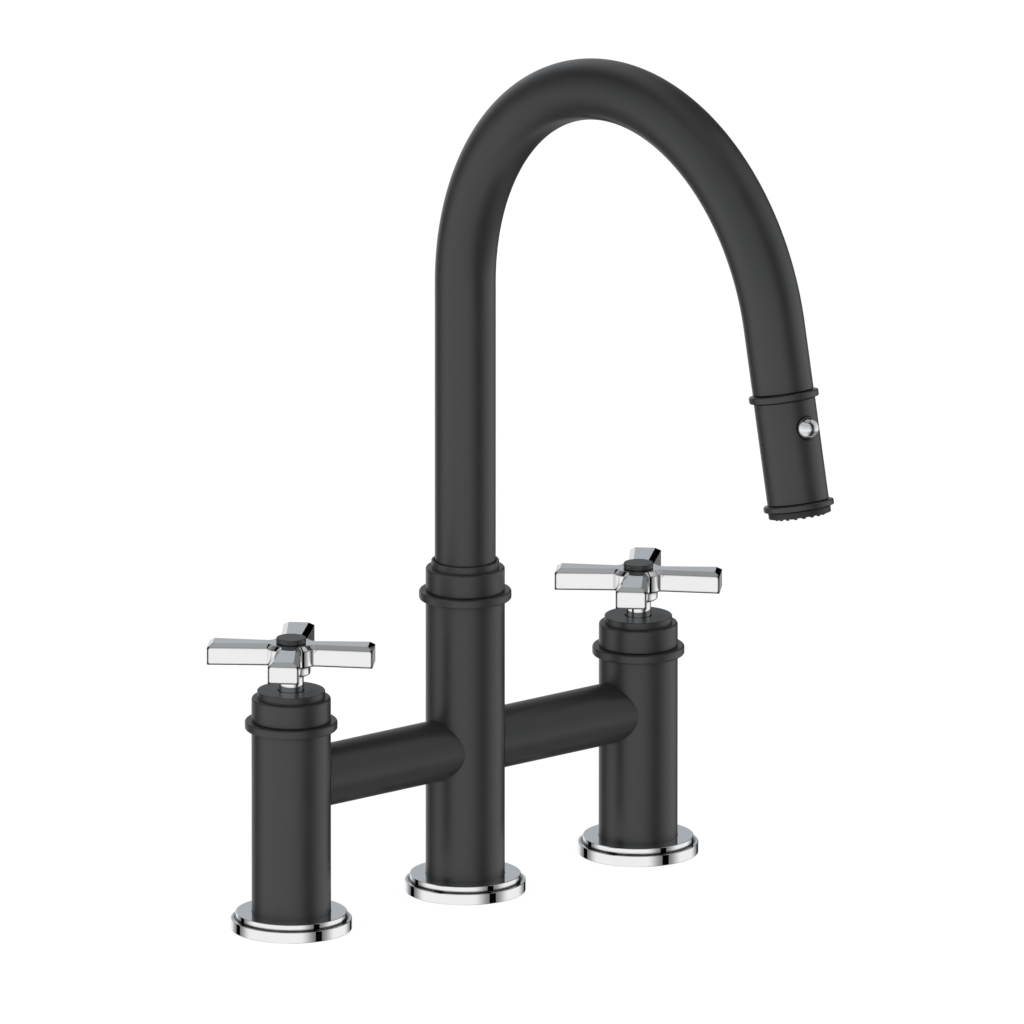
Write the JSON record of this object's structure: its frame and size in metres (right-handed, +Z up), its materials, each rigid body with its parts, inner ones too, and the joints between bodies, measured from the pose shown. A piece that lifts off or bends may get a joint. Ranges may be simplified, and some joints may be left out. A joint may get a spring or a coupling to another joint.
{
  "type": "bridge kitchen faucet",
  "caption": "Bridge kitchen faucet on round posts with cross handles, a bridge tube and a swivelling gooseneck spout with a docked pull-out spray head.",
  "frame": {"origin": "centre post's axis at deck level, under its flange", "axes": "+X along the bridge towards the cold post, -Y the way the spout reaches, +Z up"},
  "size_m": [0.266, 0.2802, 0.406],
  "materials": {
    "satin_black": "satin",
    "chrome": "polished",
    "brass": "machined",
    "ceramic": "lapped",
    "rubber": "matte",
    "plastic": "moulded",
    "steel": "brushed",
    "braid": "braided"
  },
  "bodies": {
    "deck_body": {"hot_column": "satin_black", "hot_flange": "chrome", "hot_flange_gasket": "rubber", "hot_collar_ring": "satin_black", "hot_bonnet": "satin_black", "cold_column": "satin_black", "cold_flange": "chrome", "cold_flange_gasket": "rubber", "cold_collar_ring": "satin_black", "cold_bonnet": "satin_black", "center_column": "satin_black", "center_flange": "chrome", "center_flange_gasket": "rubber", "center_collar_ring": "satin_black", "center_bonnet": "satin_black", "hot_foot_bush": "brass", "hot_riser_tube": "brass", "hot_seat_seal": "rubber", "hot_cartridge_body": "brass", "hot_fixed_disc": "ceramic", "hot_bridge_tube": "satin_black", "cold_foot_bush": "brass", "cold_riser_tube": "brass", "cold_seat_seal": "rubber", "cold_cartridge_body": "brass", "cold_fixed_disc": "ceramic", "cold_bridge_tube": "satin_black", "center_foot_bush": "brass", "hose_sleeve": "brass", "hose_foot_fitting": "brass", "upper_swivel_bush": "plastic", "lower_swivel_bush": "plastic"},
    "hot_handle": {"hot_cross_handle": "chrome", "hot_valve_stem": "brass", "hot_turning_disc": "ceramic", "hot_handle_screw": "steel", "hot_index_button": "satin_black"},
    "cold_handle": {"cold_cross_handle": "chrome", "cold_valve_stem": "brass", "cold_turning_disc": "ceramic", "cold_handle_screw": "steel", "cold_index_button": "satin_black"},
    "spout": {"spout_tube": "satin_black", "spout_spigot": "brass", "lower_o_ring": "rubber", "upper_o_ring": "rubber", "spout_retaining_ring": "steel", "dock_bush": "plastic", "spray_hose": "braid"},
    "hose_end": {"hose_ferrule": "steel"},
    "spray_head": {"hose_connector": "chrome", "spray_top_ring": "satin_black", "spray_shell": "satin_black", "spray_bottom_ring": "satin_black", "diverter_body": "plastic", "spray_face": "plastic", "nozzle_mat": "rubber", "aerator": "plastic", "button_spring": "steel"},
    "mode_button": {"mode_button": "chrome"}
  },
  "joints": [
    {"name": "hot_handle_turn", "type": "hinge", "parent": "deck_body", "child": "hot_handle", "pos_m": [-0.1016, 0, 0.128], "axis": [0, 0, 1], "range_deg": [0, 90]},
    {"name": "cold_handle_turn", "type": "hinge", "parent": "deck_body", "child": "cold_handle", "pos_m": [0.1016, 0, 0.128], "axis": [0, 0, 1], "range_deg": [-90, 0]},
    {"name": "spout_swivel", "type": "hinge", "parent": "deck_body", "child": "spout", "pos_m": [0, 0, 0.14], "axis": [0, 0, 1], "continuous": true},
    {"name": "spray_pull", "type": "slide", "parent": "spout", "child": "hose_end", "axis": [0, -0.2122, -0.9772], "range_m": [0, 0.4], "deforming": ["spray_hose"]},
    {"name": "spray_swivel", "type": "hinge", "parent": "hose_end", "child": "spray_head", "pos_m": [0, -0.22351, 0.2711], "axis": [0, -0.2122, -0.9772], "continuous": true},
    {"name": "mode_press", "type": "slide", "parent": "spray_head", "child": "mode_button", "axis": [0, 0.9772, -0.2122], "range_m": [0, 0.0025], "stiffness_N_per_m": 900, "deforming": ["button_spring"]}
  ]
}
